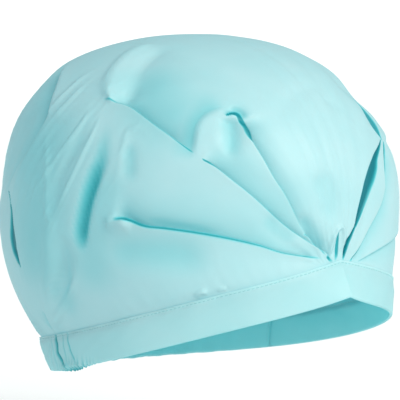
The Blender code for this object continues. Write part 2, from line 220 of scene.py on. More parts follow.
# Each fold runs through (azimuth in degrees, climb) places. Its lip stands on the left of its path and
# its dip lies on the right, seen from outside. Sizes are in mm: the lip's rise, the dip's depth, half
# the steep side between them, how far the lip's back and the dip's far side run out, how far the lip
# leans over the dip, and half the width of the painted dark line in the dip. Dark and zone are the
# painted shade of that line and of the dip's far side. Near and tip are the fold's strength at its
# start and its end, and fade_in and fade_out are the shares of its path over which it begins and dies
# out.
FOLDS = (
    # name, rise, depth, steep, back, far, lean, line, dark, zone, near, tip, fade_in, fade_out, places
    ("low_tuck", 0.8, 3.6, 0.7, 4.0, 9.0, 1.6, 0.8, 0.9, 0.13, 0.4, 1.0, 0.06, 0.12,
        ((7, 0.02), (19, 0.06), (26, 0.098), (34, 0.134), (42, 0.164), (50, 0.190), (56, 0.207),
         (61, 0.234), (65, 0.247))),
    ("back_fold", 1.0, 4.0, 1.2, 8.0, 16.0, 0.2, 1.0, 0.0, 0.12, 1.0, 0.8, 0.15, 0.25,
        ((124, 0.73), (115.2, 0.694), (104, 0.64), (97.5, 0.571), (95.5, 0.527), (99.2, 0.458),
         (107, 0.386), (111.5, 0.33))),
    ("high_tuck", 0.5, 3.6, 0.6, 4.0, 10.0, 1.5, 0.5, 0.85, 0.10, 0.5, 1.0, 0.06, 0.30,
        ((6, 0.025), (11, 0.07), (19, 0.15), (27, 0.24), (33, 0.30), (38, 0.350), (40.5, 0.368))),
    ("high_tuck_upper", 0.8, 5.0, 0.7, 5.0, 16.0, 1.5, 0.7, 0.9, 0.12, 0.7, 1.0, 0.35, 0.40,
        ((42.4, 0.386), (47.5, 0.426), (53, 0.467), (62, 0.53), (69, 0.558), (74, 0.572))),
    ("lobe_rim", 0.7, 0.8, 1.8, 3.2, 8.0, 0.0, 1.0, 0.0, 0.16, 0.6, 1.0, 0.35, 0.22,
        ((28, 0.505), (33, 0.503), (35.8, 0.500), (38.2, 0.493), (40.2, 0.480), (41.5, 0.461),
         (42.2, 0.430), (42.6, 0.394), (42.4, 0.365))),
    ("light_patch", 3.6, 4.2, 7.2, 3.0, 12.0, 0.0, 2.0, 0.0, 0.0, 1.0, 0.8, 0.12, 0.22,
        ((67.5, 0.550), (70, 0.61), (71.5, 0.68), (71, 0.75), (66, 0.805))),
    ("brow_tuck", 0.6, 3.6, 0.6, 4.0, 7.0, 1.5, 0.55, 0.8, 0.08, 0.4, 1.1, 0.06, 0.12,
        ((4, 0.01), (6, 0.035), (12, 0.11), (17.5, 0.225), (20.8, 0.284), (23.5, 0.343),
         (26, 0.394), (27.2, 0.434), (28.5, 0.469))),
    ("brow_tuck_hook", 0.1, 1.2, 1.4, 2.0, 3.5, 0.0, 1.4, 0.25, 0.08, 1.0, 0.8, 0.25, 0.35,
        ((28.2, 0.455), (28.4, 0.480), (29.8, 0.489), (31.8, 0.486), (33.2, 0.478))),
    ("brow_second", 0.5, 1.2, 0.6, 1.8, 2.5, 0.8, 0.7, 0.4, 0.06, 0.8, 0.7, 0.15, 0.25,
        ((5, 0.025), (9, 0.06), (11, 0.09), (13, 0.105))),
    ("left_crease", 0.5, 2.0, 0.6, 2.5, 5.0, 0.8, 0.8, 1.25, 0.10, 0.9, 1.0, 0.03, 0.10,
        ((-5, 0.001), (-8.2, 0.044), (-12.8, 0.111), (-17, 0.158), (-20, 0.192), (-22.5, 0.231),
         (-26.3, 0.305), (-32, 0.38))),
    ("left_low_tuck", 0.5, 1.6, 0.7, 4.0, 7.0, 1.0, 0.8, 0.4, 0.06, 0.6, 1.0, 0.06, 0.15,
        ((-8, 0.002), (-14.8, 0.036), (-24, 0.072), (-33, 0.103), (-40, 0.128), (-62, 0.20))),
    ("left_high_tuck", 0.8, 3.6, 0.9, 5.0, 12.0, 1.2, 0.7, 0.6, 0.10, 0.8, 1.0, 0.20, 0.45,
        ((-36, 0.385), (-54, 0.47), (-84, 0.53))),
    ("left_side_tuck", 0.9, 3.0, 0.9, 5.0, 9.0, 0.9, 0.7, 0.5, 0.08, 0.6, 1.0, 0.25, 0.40,
        ((-58, 0.235), (-74, 0.30), (-98, 0.33))),
    ("side_nape_crease", 0.4, 1.6, 0.9, 3.0, 3.0, 0.0, 0.9, 0.5, 0.10, 1.0, 1.0, 0.25, 0.25,
        ((104.5, 0.052), (108, 0.030), (111, 0.012))),
)

# The rounded ridges and hollows between the folds. Rise and half width are in mm, and a hollow's rise
# is below zero. A high flatness gives steep sides and a flat middle, and dark is how much painted
# shade, in the cloth's deep colour, lies in it. A row with no rise is painted shade only.
SWELLS = (
    # name, rise, width, flatness, dark, fade_in, fade_out, places
    ("side_valley", -3.6, 3.7, 2, 0.50, 0.45, 0.22,
        ((69, 0.52), (69.2, 0.416), (70.8, 0.370), (72.6, 0.320), (74.0, 0.265), (75.2, 0.215),
         (76.4, 0.160))),
    ("side_panel_shade", -0.8, 14.0, 2, 0.06, 0.25, 0.25, ((66, 0.42), (70, 0.22), (78, 0.05))),
    ("side_shade", 0.0, 30.0, 2, 0.085, 0.25, 0.25, ((92, 0.60), (92, 0.30), (96, 0.05))),
    ("upper_zone", 0.0, 17.0, 2, 0.08, 0.30, 0.35,
        ((60, 0.72), (58, 0.60), (50, 0.50), (40, 0.44))),
    ("curl", 0.5, 2.0, 2, 0.0, 0.30, 0.35,
        ((66, 0.335), (63.8, 0.383), (62.8, 0.44), (62.4, 0.466), (60.8, 0.475), (57.5, 0.466),
         (55, 0.43))),
    ("temple_crease", 0.8, 1.5, 2, 0.0, 0.25, 0.35,
        ((76.8, 0.557), (78.5, 0.505), (83.8, 0.435), (88.5, 0.383), (95, 0.334))),
    ("temple_crease_low", 0.8, 1.5, 2, 0.0, 0.25, 0.35,
        ((72, 0.540), (73.8, 0.461), (77.2, 0.386), (80.2, 0.336), (83, 0.289))),
    ("temple_hollow", -1.2, 3.2, 2, 0.05, 0.25, 0.30,
        ((75.2, 0.503), (79.2, 0.435), (83.2, 0.355), (84.8, 0.283))),
    ("temple_pull", 0.8, 2.6, 2, 0.0, 0.30, 0.30,
        ((92.8, 0.508), (88, 0.401), (87, 0.296), (83.8, 0.247))),
    ("upper_pull", 0.7, 2.4, 2, 0.0, 0.30, 0.30, ((89, 0.68), (92, 0.61), (95, 0.56))),
    ("upper_pull_low", 0.7, 2.4, 2, 0.0, 0.30, 0.30, ((85, 0.63), (88, 0.57), (92, 0.52))),
    ("pucker", 1.6, 1.7, 2, 0.0, 0.30, 0.30, ((50, 0.003), (47.5, 0.015), (45.5, 0.010))),
    ("pucker_far", 1.2, 1.3, 2, 0.0, 0.30, 0.30, ((43, 0.002), (41.5, 0.011), (40, 0.008))),
    ("low_tuck_band", -0.6, 3.0, 2, 0.14, 0.30, 0.40,
        ((60, 0.243), (53, 0.218), (45, 0.190), (37, 0.158), (31, 0.135))),
    ("back_facet", -4.4, 30.0, 4, 0.0, 0.30, 0.25,
        ((141, 0.74), (141, 0.62), (139, 0.51), (136, 0.41), (135, 0.31))),
    ("left_side_press", -3.4, 30.0, 4, 0.0, 0.30, 0.30, ((-64, 0.55), (-64, 0.42), (-62, 0.29))),
    ("curl_hollow", -1.0, 4.0, 2, 0.06, 0.35, 0.35, ((61.5, 0.45), (60.5, 0.39), (61, 0.32))),
    ("side_ridge", 2.6, 7.0, 2, 0.0, 0.25, 0.20, ((84, 0.30), (88, 0.17), (96, 0.09), (109, 0.01))),
    ("side_hollow", -2.8, 6.5, 2, 0.05, 0.25, 0.30, ((80, 0.23), (86, 0.11), (96, 0.03))),
    ("nape_side_ridge", 1.8, 2.7, 2, 0.0, 0.20, 0.30,
        ((107, 0.016), (95.5, 0.049), (86, 0.089), (78.5, 0.131))),
    ("nape_side_hollow", -1.6, 3.5, 2, 0.06, 0.25, 0.30,
        ((97, 0.060), (90, 0.110), (86, 0.140), (82.5, 0.175))),
    ("low_tuck_nub", 2.8, 3.0, 2, 0.0, 0.30, 0.30, ((68, 0.240), (63.5, 0.230), (59, 0.213))),
    ("back_hollow", -1.0, 9.0, 2, 0.04, 0.20, 0.25,
        ((112, 0.60), (108, 0.52), (110, 0.46), (116, 0.37))),
    ("lobe_band", -2.4, 4.4, 2, 0.09, 0.15, 0.40,
        ((31.6, 0.478), (31.7, 0.44), (32.0, 0.39), (32.6, 0.34))),
    ("hook_shade", -0.6, 2.2, 2, 0.14, 0.30, 0.30,
        ((32.5, 0.489), (29.6, 0.497), (27.6, 0.484), (26.8, 0.455))),
    ("brow_hollow", -2.0, 6.5, 3, 0.02, 0.25, 0.25,
        ((7, 0.28), (4.5, 0.23), (3.5, 0.18), (6, 0.12))),
    ("brow_low_hollow", -1.4, 3.5, 2, 0.08, 0.25, 0.25, ((13, 0.17), (9, 0.10), (5, 0.03))),
    ("between_tucks", -1.2, 5.0, 2, 0.05, 0.30, 0.30, ((25, 0.19), (20, 0.13), (14, 0.08))),
    ("top_streak", -0.8, 5.0, 2, 0.0, 0.30, 0.30, ((19, 0.45), (4, 0.53), (-15, 0.56))),
    ("top_streak_low", -0.7, 4.0, 2, 0.0, 0.30, 0.30, ((-5, 0.52), (-10, 0.50), (-15, 0.47))),
    ("panel_hollow", -1.8, 9.0, 2, 0.08, 0.30, 0.30, ((38, 0.08), (54, 0.14), (72, 0.17))),
    ("loop_pleat", 1.4, 1.2, 2, 0.0, 0.08, 0.15,
        ((4.8, 0.006), (3.7, 0.04), (2.2, 0.079), (0.5, 0.100), (-1.0, 0.098), (-1.4, 0.07),
         (-0.6, 0.03))),
    ("left_brow_hollow", -3.0, 14.0, 2, 0.0, 0.25, 0.25, ((-24, 0.60), (-46, 0.55), (-68, 0.58))),
    ("left_side_valley", -3.0, 8.0, 2, 0.05, 0.35, 0.35, ((-84, 0.36), (-88, 0.22), (-95, 0.08))),
    ("left_side_ridge", 2.4, 7.0, 2, 0.0, 0.25, 0.25, ((-86, 0.30), (-95, 0.14), (-110, 0.02))),
    ("left_back_ridge", 2.8, 11.0, 2, 0.0, 0.25, 0.25, ((-118, 0.68), (-104, 0.52), (-112, 0.34))),
    ("nape_fold_right", -3.4, 6.5, 2, 0.06, 0.12, 0.55, ((150, 0.005), (148, 0.12), (140, 0.42))),
    ("nape_ridge_right", 2.4, 6.5, 2, 0.0, 0.12, 0.55, ((161, 0.005), (158, 0.14), (151, 0.40))),
    ("nape_fold_middle", -3.2, 7.5, 2, 0.05, 0.12, 0.55, ((177, 0.005), (180, 0.16), (187, 0.46))),
    ("nape_ridge_middle", 2.2, 7.0, 2, 0.0, 0.12, 0.55,
        ((-171, 0.005), (-169, 0.16), (-164, 0.38))),
    ("nape_fold_left", -3.2, 7.0, 2, 0.06, 0.12, 0.55, ((-150, 0.005), (-144, 0.16), (-132, 0.42))),
    ("nape_ridge_left", 2.2, 7.0, 2, 0.0, 0.12, 0.55, ((-139, 0.005), (-133, 0.14), (-122, 0.36))),
)

# The gaps under the pleats' edges, sunk in and darkened with painted shade. Places are (azimuth,
# climb, half width in mm), and depth is in mm.
GAP_STEPS = 200
GAPS = (
    # name, depth, dark, places
    ("wedge", 1.4, 1.3,
        ((-30, 0.390, 0.3), (-21.8, 0.338, 1.6), (-18.5, 0.305, 2.9), (-15.5, 0.273, 3.5),
         (-12.8, 0.240, 3.3), (-10.8, 0.208, 2.8), (-9, 0.176, 2.2), (-7.5, 0.145, 1.6),
         (-6.2, 0.114, 0.8))),
    ("wedge_foot", 2.2, 1.3,
        ((-6.2, 0.114, 0.5), (-4.5, 0.081, 0.9), (-2.8, 0.050, 1.4), (-2.0, 0.019, 0.8),
         (-1.5, 0.0, 0.4))),
    ("side_tear", 1.4, 1.1,
        ((109.5, 0.37, 0.2), (107, 0.315, 0.8), (107.2, 0.268, 2.8), (107.8, 0.235, 4.3),
         (107.6, 0.20, 3.6), (106.8, 0.165, 0.5))),
    ("crease_slot", 1.6, 1.3,
        ((-32.5, 0.386, 0.4), (-29, 0.344, 2.2), (-26.3, 0.305, 2.3), (-24, 0.265, 1.5),
         (-22.5, 0.231, 0.6))),
    ("sliver", 0.6, 0.75,
        ((-33.5, 0.57, 0.3), (-31.8, 0.503, 1.8), (-31.0, 0.462, 4.6), (-31.2, 0.430, 4.4),
         (-31.4, 0.398, 0.9))),
    ("hook", 0.4, 0.95,
        ((32.4, 0.483, 0.5), (30.6, 0.487, 1.1), (28.9, 0.479, 1.3), (28.2, 0.460, 1.3),
         (27.2, 0.435, 2.1), (26.6, 0.412, 1.7), (25.8, 0.388, 0.4))),
    ("high_tuck_start", 0.3, 0.8,
        ((40.0, 0.366, 0.3), (38.5, 0.354, 0.8), (36, 0.332, 0.7), (33, 0.300, 0.3))),
    ("loop_middle", 1.0, 0.6,
        ((0.8, 0.085, 0.4), (1.0, 0.065, 0.8), (1.5, 0.02, 0.9), (2.2, 0.004, 0.5))),
    ("tuck_foot", 0.8, 0.9, ((5.6, 0.020, 0.5), (4.0, 0.006, 0.8))),
    ("crease_line", 0.3, 1.3,
        ((-5, 0.001, 0.6), (-8.2, 0.044, 0.75), (-12.8, 0.111, 0.85), (-17, 0.158, 0.95),
         (-20, 0.192, 0.9), (-22.5, 0.231, 0.9))),
)


def wrapped(angle):
    """The angle between -pi and pi."""
    return (angle + math.pi) % (2 * math.pi) - math.pi


def stacked(x, y, z):
    """Points from their coordinates. A single number stands for all of them."""
    return np.stack(np.broadcast_arrays(x, y, z), axis=-1).astype(float)


def outward(azimuth):
    """The level direction away from the head."""
    return stacked(-np.sin(azimuth), -np.cos(azimuth), 0.0)


def nape_share(azimuth):
    """0 at one end of the casing, 0.5 at the nape and 1 at the other end."""
    return (np.mod(azimuth, 2 * math.pi) - BAND_END) / (2 * math.pi - 2 * BAND_END)


def nape_fullness(azimuth):
    """How gathered the casing is: 0 at its ends and along the band, 1 where the gathers bunch up."""
    share = np.clip(nape_share(azimuth), 0.0, 1.0)
    off_bunch = (np.mod(azimuth, 2 * math.pi) - CASING_BUNCH) / CASING_BUNCH_SPREAD
    bunched = CASING_EVEN_SHARE + (1.0 - CASING_EVEN_SHARE) * np.exp(-(off_bunch**2))
    return bunched * np.minimum(1.0, np.minimum(share, 1.0 - share) / CASING_FADE)


def nape_pleat(azimuth):
    """The gathers of the elastic, out at 1 and in at -1."""
    turns = CASING_PLEATS * np.clip(nape_share(azimuth), 0.0, 1.0)
    return nape_fullness(azimuth) * np.sin(2 * math.pi * turns)


def small_gathers(azimuth):
    """The finer gathers between the elastic's pleats, which are never quite evenly spaced."""
    evenly = 2 * math.pi * SMALL_GATHERS * CASING_PLEATS * nape_share(azimuth)
    return np.sin(evenly + GATHERS_DRIFT * np.sin(azimuth * GATHERS_DRIFT_WAVES))


def hem_lean(azimuth):
    """How far the hem leans out from upright, going up: back over the brow and out over the nape."""
    level = np.cos(azimuth)
    nape = np.where(level < 0.0, level**2, 0.0)
    brow = np.exp(-np.abs(wrapped(azimuth)) / BROW_LEAN_SPREAD)
    lean = HEM_LEAN_SIDE + (HEM_LEAN_NAPE - HEM_LEAN_SIDE) * nape
    return lean + (HEM_LEAN_BROW - HEM_LEAN_SIDE) * brow


def hem_rise(azimuth):
    """The hem's direction going up."""
    lean = hem_lean(azimuth)[..., None]
    return np.sin(lean) * outward(azimuth) + np.cos(lean) * np.array((0.0, 0.0, 1.0))


def hem_across(azimuth):
    """The hem's direction out through its leaves."""
    lean = hem_lean(azimuth)[..., None]
    return np.cos(lean) * outward(azimuth) - np.sin(lean) * np.array((0.0, 0.0, 1.0))


def ring(azimuth):
    """The hem's lower edge: a tilted oval, creased and arched at the brow, gathered at the nape."""
    off_front = np.abs(wrapped(azimuth))
    crease = CREASE_REACH * np.exp(-off_front / CREASE_SPREAD)
    arch = BROW_ARCH * np.exp(-off_front / BROW_SPREAD)
    x = -RING_WIDTH / 2 * np.sin(azimuth)
    y = -RING_LENGTH / 2 * np.cos(azimuth) - crease
    z = RING_TILT * np.cos(azimuth) + RING_SADDLE * np.cos(2 * azimuth) + arch
    pleat = nape_pleat(azimuth)[..., None]
    return stacked(x, y, z) + CASING_PLEAT_RISE * pleat * outward(azimuth)


def hem_foot(azimuth):
    """The foot of the hem's middle line, whose outer leaf stands over the ring."""
    return ring(azimuth) - LEAF_APART * hem_across(azimuth)


def seam(azimuth):
    """Where the crown comes out of the hem."""
    return hem_foot(azimuth) + HEM_HEIGHT * hem_rise(azimuth)


def dome(azimuth, climb):
    """The smooth form under the folds, from the seam at climb 0 to the top at climb 1."""
    level = np.cos(azimuth)
    widest = stacked(
        -CROWN_WIDTH / 2 * np.sin(azimuth),
        CROWN_SETBACK - CROWN_LENGTH / 2 * level,
        WIDEST_HEIGHT,
    )
    start = seam(azimuth)
    wall = WIDEST_HEIGHT - start[..., 2]
    cap = (TOP_HEIGHT - WIDEST_HEIGHT) * math.pi / 2
    widest_climb = wall / (wall + cap)

    down = np.clip((widest_climb - climb) / widest_climb, 0.0, 1.0)[..., None]
    tuck_in = (NAPE_TUCK_IN + (BROW_TUCK_IN - NAPE_TUCK_IN) * (1.0 + level) / 2)[..., None]
    tuck = np.concatenate((down**tuck_in, down**tuck_in, down), axis=-1)
    lower = widest + (start - widest) * tuck

    turn = np.clip((climb - widest_climb) / (1.0 - widest_climb), 0.0, 1.0) * math.pi / 2
    fullness = BACK_FULLNESS + (FRONT_FULLNESS - BACK_FULLNESS) * (1.0 + level) / 2
    size = (np.cos(turn) ** fullness + np.sin(turn) ** fullness) ** (-1.0 / fullness)
    inwards = (size * np.cos(turn))[..., None]
    middle = np.array((0.0, CROWN_SETBACK, WIDEST_HEIGHT))
    upper = middle + (widest - middle) * inwards
    upper[..., 2] += (TOP_HEIGHT - WIDEST_HEIGHT) * size * np.sin(turn)
    return np.where((climb < widest_climb)[..., None], lower, upper)


def on_circle(first, second, third, share):
    """Points at these shares of the way round the circle through three points of the plane."""
    ax, ay = second[..., 0] - first[..., 0], second[..., 1] - first[..., 1]
    bx, by = third[..., 0] - first[..., 0], third[..., 1] - first[..., 1]
    twist = 2.0 * (ax * by - ay * bx)
    a2, b2 = ax**2 + ay**2, bx**2 + by**2
    middle = first + np.stack(((by * a2 - ay * b2) / twist, (ax * b2 - bx * a2) / twist), axis=-1)
    arms = [point - middle for point in (first, second, third)]
    angle = [np.arctan2(arm[..., 1], arm[..., 0]) for arm in arms]
    sweep = wrapped(angle[1] - angle[0]) + wrapped(angle[2] - angle[1])
    radius = np.linalg.norm(arms[0], axis=-1)
    turned = angle[0] + sweep * share
    return middle + radius[..., None] * np.stack((np.cos(turned), np.sin(turned)), axis=-1)


def laid(across, along):
    """Azimuth and climb of a point of the crown's sheet, gathered at the brow and at the nape. Across
    runs from the wearer's right side at 0 to the left at 1, and along from the brow to the nape."""
    side = 1.0 - 2.0 * np.clip(across, NEARLY_STRAIGHT, 1.0 - NEARLY_STRAIGHT)
    side = np.where(np.abs(side) < NEARLY_STRAIGHT, NEARLY_STRAIGHT, side)
    near = np.sign(side) * np.abs(side) ** BROW_CROWDING
    top = np.sign(side) * np.abs(side) ** TOP_CROWDING
    brow = GATHER_ANGLE * near
    nape = math.pi - (math.pi - BAND_END) * side
    first = np.stack((np.sin(brow), np.cos(brow)), axis=-1)
    second = np.stack((top, np.zeros_like(top)), axis=-1)
    third = np.stack((np.sin(nape), np.cos(nape)), axis=-1)
    spot = on_circle(first, second, third, along)
    azimuth = np.arctan2(spot[..., 0], spot[..., 1])
    climb = 1.0 - np.clip(np.hypot(spot[..., 0], spot[..., 1]), 0.0, 1.0)
    on_edge = (across <= 0.0) | (across >= 1.0) | (along <= 0.0) | (along >= 1.0)
    return azimuth, np.where(on_edge, 0.0, climb)


def dome_normal(azimuth, climb):
    """The direction out of the dome, which is upright at its top."""
    low = np.clip(climb, 0.0, 1.0 - 2 * NORMAL_STEP)
    here = dome(azimuth, low)
    round_it = dome(azimuth + NORMAL_STEP, low) - here
    up_it = dome(azimuth, low + NORMAL_STEP) - here
    normal = np.cross(up_it, round_it)
    normal = normal / np.linalg.norm(normal, axis=-1, keepdims=True)
    near_top = np.clip(1.0 - (1.0 - climb) / TOP_PATCH, 0.0, 1.0)[..., None]
    normal = normal * (1.0 - near_top) + np.array((0.0, 0.0, 1.0)) * near_top
    return normal / np.linalg.norm(normal, axis=-1, keepdims=True)


PATH_STEPS = 64


def rounded_path(places, steps):
    """A smooth path through all these places."""
    places = np.array(places, dtype=float)
    ends = np.vstack((2 * places[0] - places[1], places, 2 * places[-1] - places[-2]))
    share = np.linspace(0.0, len(places) - 1.0, steps)
    leg = np.minimum(share.astype(int), len(places) - 2)
    t = (share - leg)[:, None]
    a, b, c, d = (ends[leg + i] for i in range(4))
    bend, twist = 2 * a - 5 * b + 4 * c - d, 3 * b - a - 3 * c + d
    return 0.5 * (2 * b + (c - a) * t + bend * t**2 + twist * t**3)


def beside(points, places, reach):
    """For the points within reach of a path: which they are, how far along it they lie, how far to the
    right of it, how far past its ends, and the way to its right."""
    route = rounded_path(places, PATH_STEPS)
    azimuth, climb = np.radians(route[:, 0]), route[:, 1]
    path = dome(azimuth, climb)
    right = np.cross(np.gradient(path, axis=0), dome_normal(azimuth, climb))
    right /= np.linalg.norm(right, axis=-1, keepdims=True)
    low, high = path.min(axis=0) - reach, path.max(axis=0) + reach
    near = np.nonzero(((points > low) & (points < high)).all(axis=-1))[0]
    legs = np.diff(path, axis=0)
    away = points[near, None, :] - path[None, :-1, :]
    passed = np.einsum("ijk,jk->ij", away, legs) / np.sum(legs**2, axis=-1)
    part = np.clip(passed, 0.0, 1.0)
    gap = away - part[..., None] * legs
    nearest = np.argmin(np.einsum("ijk,ijk->ij", gap, gap), axis=1)
    each = np.arange(len(near))
    gap, part, passed = gap[each, nearest], part[each, nearest], passed[each, nearest]
    past = np.where(nearest == 0, np.maximum(-passed, 0.0), 0.0)
    past = np.where(nearest == PATH_STEPS - 2, np.maximum(passed - 1.0, 0.0), past)
    beyond = past * np.linalg.norm(legs[nearest], axis=-1)
    way = right[nearest] * (1.0 - part[:, None]) + right[nearest + 1] * part[:, None]
    level = np.sqrt(np.maximum(np.sum(gap**2, axis=-1) - beyond**2, 0.0))
    side = np.sign(np.sum(gap * way, axis=-1)) * level
    return near, (nearest + part) / (PATH_STEPS - 1.0), side, beyond, way


def eased(share):
    """From 0 to 1 as the share does, with a soft start and a soft end."""
    share = np.clip(share, 0.0, 1.0)
    return share * share * (3.0 - 2.0 * share)


def tapered(share, start, end):
    """1 along a fold's middle, dying out over its start and its end."""
    return eased(share / start) * eased((1.0 - share) / end)


def creased(far, power):
    """A bulge across a fold: 1 on its line and less away from it."""
    return np.exp(-(np.abs(far) ** power))


def ripple(x, y, z):
    """The unevenness of cloth: a smooth random height, about -1 to 1, at each of these places. A bare
    number in place of x, y or z only picks another stretch of the noise."""
    return np.array([noise.noise(Vector(spot)) for spot in stacked(x, y, z)])


def read_sheet(bm):
    """Where each vertex of the flat sheet lies, as shares across and along."""
    spots = np.array([vert.co for vert in bm.verts])
    return np.round(spots[:, 0] + 0.5, 7), np.round(spots[:, 1] + 0.5, 7)


# The flat sheet, with finer cloth along the folds, so that their edges come out crisp.
bm = bmesh.new()
bmesh.ops.create_grid(bm, x_segments=CROWN_ACROSS, y_segments=CROWN_ALONG, size=0.5)
for reach in FINER_WITHIN:
    smooth = dome(*laid(*read_sheet(bm)))
    crisp = np.zeros(len(smooth), dtype=bool)
    crisp_lines = [(reach, row[-1]) for row in FOLDS]
    crisp_lines += [(reach + row[2] * MM / 2, row[-1]) for row in SWELLS if row[2] < NARROW_SWELL]
    crisp_lines += [(reach + max(p[2] for p in row[-1]) * MM, row[-1]) for row in GAPS]
    for within, places in crisp_lines:
        near, share, side, beyond, right = beside(smooth, places, 2 * within)
        crisp[near[(np.abs(side) < within) & (beyond < within)]] = True
    bm.verts.index_update()
    on_fold = [face for face in bm.faces if any(crisp[vert.index] for vert in face.verts)]
    cut = dict.fromkeys(edge for face in on_fold for edge in face.edges)
    bmesh.ops.subdivide_edges(bm, edges=list(cut), cuts=1, use_grid_fill=True)
across, along = read_sheet(bm)
azimuth, climb = laid(across, along)
smooth = dome(azimuth, climb)
out = dome_normal(azimuth, climb)
from_seam = np.linalg.norm(smooth - seam(azimuth), axis=-1)
from_brow = np.linalg.norm(smooth - seam(np.zeros(1)), axis=-1)

# How high the cloth stands on the dome, how far it slides over its neighbour, and how dark it is
# painted: painted shade in its folds, gaps and hollows. A fold opens to its full width over the first
# part of its path, and dies out a few mm past its ends. A narrow one has a sharper lip and dip than a
# wide one, and its painted dark line runs nearer to its ends.
FOLD_OPENS = 0.35
FOLD_END = 2.5
WIDE_FOLD = 3.0
SHARP_LIP_AND_DIP = (1.5, 1.25)
ROUND_LIP_AND_DIP = (1.1, 1.05)
LEAN_FADE = 0.12
LINE_FADE_IN = 0.06
LINE_FADE_OUT = 0.3
WIDTHS_WORKED = 2.6
height = np.zeros(len(smooth))
slide = np.zeros_like(smooth)
painted_shade_amount = np.zeros(len(smooth))
for fold in FOLDS:
    rise, dip, steep, back, far, lean, line, painted_dark, painted_zone_shade = fold[1:10]
    start, end, fade_in, fade_out, places = fold[10:]
    near, share, side, beyond, right = beside(smooth, places, 3 * max(back, far) * MM)
    widen = 0.5 + 0.5 * eased(share / FOLD_OPENS)
    steep_m, back_m, far_m, line_m = (size * MM * widen for size in (steep, back, far, line))
    before, past = side + steep_m, side - steep_m
    lip_power, dip_power = SHARP_LIP_AND_DIP if steep < WIDE_FOLD else ROUND_LIP_AND_DIP
    lip = creased(before / np.where(before < 0.0, back_m, steep_m), lip_power)
    hollow = creased(past / np.where(past < 0.0, steep_m, far_m), dip_power)
    held = tapered(share, fade_in, fade_out) * creased(beyond / (FOLD_END * MM), 2)
    full = start + (end - start) * share
    strength = full * held
    height[near] += MM * strength * (rise * lip - dip * hollow)
    slid = MM * lean * strength * lip * tapered(share, LEAN_FADE, LEAN_FADE)
    slide[near] += slid[:, None] * right
    line_held = tapered(share, min(fade_in, LINE_FADE_IN), min(fade_out, LINE_FADE_OUT))
    line_held = line_held * creased(beyond / (line * MM), 2)
    painted_line_shade = line_held * np.minimum(1.0, full) * creased(side / line_m, 2)
    painted_shade_amount[near] = np.maximum(painted_shade_amount[near], painted_dark * painted_line_shade + painted_zone_shade * hollow * strength)

for name, rise, width, flatness, painted_dark, fade_in, fade_out, places in SWELLS:
    near, share, side, beyond, right = beside(smooth, places, WIDTHS_WORKED * width * MM)
    strength = tapered(share, fade_in, fade_out)
    bulge = strength * creased(side / (width * MM), flatness) * creased(beyond / (width * MM), 2)
    height[near] += MM * rise * bulge
    painted_shade_amount[near] = np.maximum(painted_shade_amount[near], painted_dark * bulge)

for name, deep, painted_dark, places in GAPS:
    widest = max(place[2] for place in places)
    near, share, side, beyond, right = beside(smooth, places, 3 * widest * MM)
    widths = rounded_path(places, GAP_STEPS)[:, 2]
    half = MM * np.interp(share, np.linspace(0.0, 1.0, GAP_STEPS), widths)
    gap = creased(side / half, 6) * creased(beyond / half, 2)
    height[near] -= MM * deep * np.minimum(1.0, half / MM) * gap
    painted_shade_amount[near] = np.maximum(painted_shade_amount[near], painted_dark * gap)

# Small pleats fan out over the brow, the nape's gathers run up from the casing and smaller puckers up
# from the band, and the cloth between them is never quite even. Rises are in mm, reaches in metres, and
# waves say how close the unevenness lies.
FAN_RISE = 0.18
FAN_REACH = 0.011
FAN_WAVES = 30.0
FAN_OFF_SIDES = 0.08
FAN_OFF_BROW = 0.02
fan = ripple(across * FAN_WAVES, 0.0, 3.0)
fan_fade = (from_brow / FAN_REACH) * np.exp(1.0 - from_brow / FAN_REACH)
off_sides = np.clip(np.minimum(across, 1.0 - across) / FAN_OFF_SIDES, 0.0, 1.0)
off_brow = np.clip(along / FAN_OFF_BROW, 0.0, 1.0)
height += FAN_RISE * MM * fan * fan_fade * (off_sides * off_brow)

GATHER_RISE = 1.3
GATHER_REACH = 0.016
NAPE_START = 0.97
NAPE_FADE = 0.12
nape = eased((np.abs(wrapped(azimuth)) - BAND_END * NAPE_START) / NAPE_FADE)
height += GATHER_RISE * MM * nape * small_gathers(azimuth) * np.exp(-from_seam / GATHER_REACH)

PUCKER_RISE = 0.45
PUCKER_REACH = 0.009
PUCKER_WAVES = 22.0
off_fan = 1.0 - 0.5 * np.minimum(fan_fade, 1.0)
puckers = ripple(azimuth * PUCKER_WAVES, 7.0, 0.0)
height += PUCKER_RISE * MM * (1.0 - nape) * puckers * np.exp(-from_seam / PUCKER_REACH) * off_fan

DRAPE_RISE = 1.3
DRAPE_WAVES = 16.0
height += DRAPE_RISE * MM * ripple(*(smooth * DRAPE_WAVES).T)

# Long creases pull down over the temples as thin ridges with soft ground between them, and softer ones
# sweep back from the brow. The temples' place is in degrees from the front.
TEMPLE_AT = 94.0
TEMPLE_HALF = 30.0
TEMPLE_CLIMB = 0.42
TEMPLE_CLIMB_HALF = 0.28
PULL_SLANT = 65.0
PULL_RISE = 0.5
PULL_WAVES = 0.22
PULL_WAVES_UP = 2.4
PULL_THIN = 2.4
off_front = np.degrees(np.abs(wrapped(azimuth)))
temple = creased((off_front - TEMPLE_AT) / TEMPLE_HALF, 2)
temple = temple * creased((climb - TEMPLE_CLIMB) / TEMPLE_CLIMB_HALF, 2)
slant = np.degrees(azimuth) + PULL_SLANT * climb
pulls = ripple(slant * PULL_WAVES, climb * PULL_WAVES_UP, 11.0)
height += PULL_RISE * MM * temple * (1.0 - np.minimum(1.0, PULL_THIN * np.abs(pulls))) ** 2

SWEEP_RISE = 0.55
SWEEP_START = 0.03
SWEEP_WAVES = 26.0
SWEEP_WAVES_ALONG = 3.5
front = (0.5 + 0.5 * np.cos(azimuth)) * np.clip(from_brow / SWEEP_START, 0.0, 1.0)
sweeps = ripple(across * SWEEP_WAVES, along * SWEEP_WAVES_ALONG, 5.0)
height += SWEEP_RISE * MM * front * sweeps

